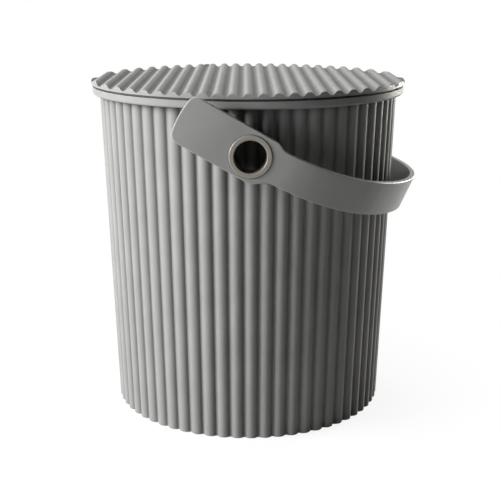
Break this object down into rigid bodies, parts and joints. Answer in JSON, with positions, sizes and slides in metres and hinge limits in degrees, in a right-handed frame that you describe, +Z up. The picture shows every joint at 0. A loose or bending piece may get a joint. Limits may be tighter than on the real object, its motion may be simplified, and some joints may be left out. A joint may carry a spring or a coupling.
{
  "type": "lidded bucket",
  "caption": "Tapered ribbed plastic bucket with a loose ridged lid and a wide strap handle that swings on hollow eyelets.",
  "frame": {"origin": "middle of the standing face under the base, on the bucket's axis", "axes": "+Z up along the bucket's axis; the handle's pivot axis runs along Y; the lowered handle hangs towards +X; -Y is the front eyelet in the picture"},
  "size_m": [0.2605, 0.278, 0.2652],
  "materials": {
    "body_plastic": "satin moulded grey",
    "lid_plastic": "satin moulded grey",
    "strap_plastic": "satin flexible grey",
    "eyelet_plastic": "half-gloss warm grey"
  },
  "bodies": {
    "bucket": {"bucket_body": "body_plastic", "front_pivot_eyelet": "eyelet_plastic", "rear_pivot_eyelet": "eyelet_plastic"},
    "lid": {"lid": "lid_plastic"},
    "handle": {"carry_handle": "strap_plastic"}
  },
  "joints": [
    {"name": "handle_swing", "type": "hinge", "parent": "bucket", "child": "handle", "pos_m": [0, 0, 0.2233], "axis": [0, -1, 0], "range_deg": [0, 220]},
    {"name": "lid_lift", "type": "slide", "parent": "bucket", "child": "lid", "axis": [0, 0, 1], "range_m": [0, 0.15]}
  ]
}
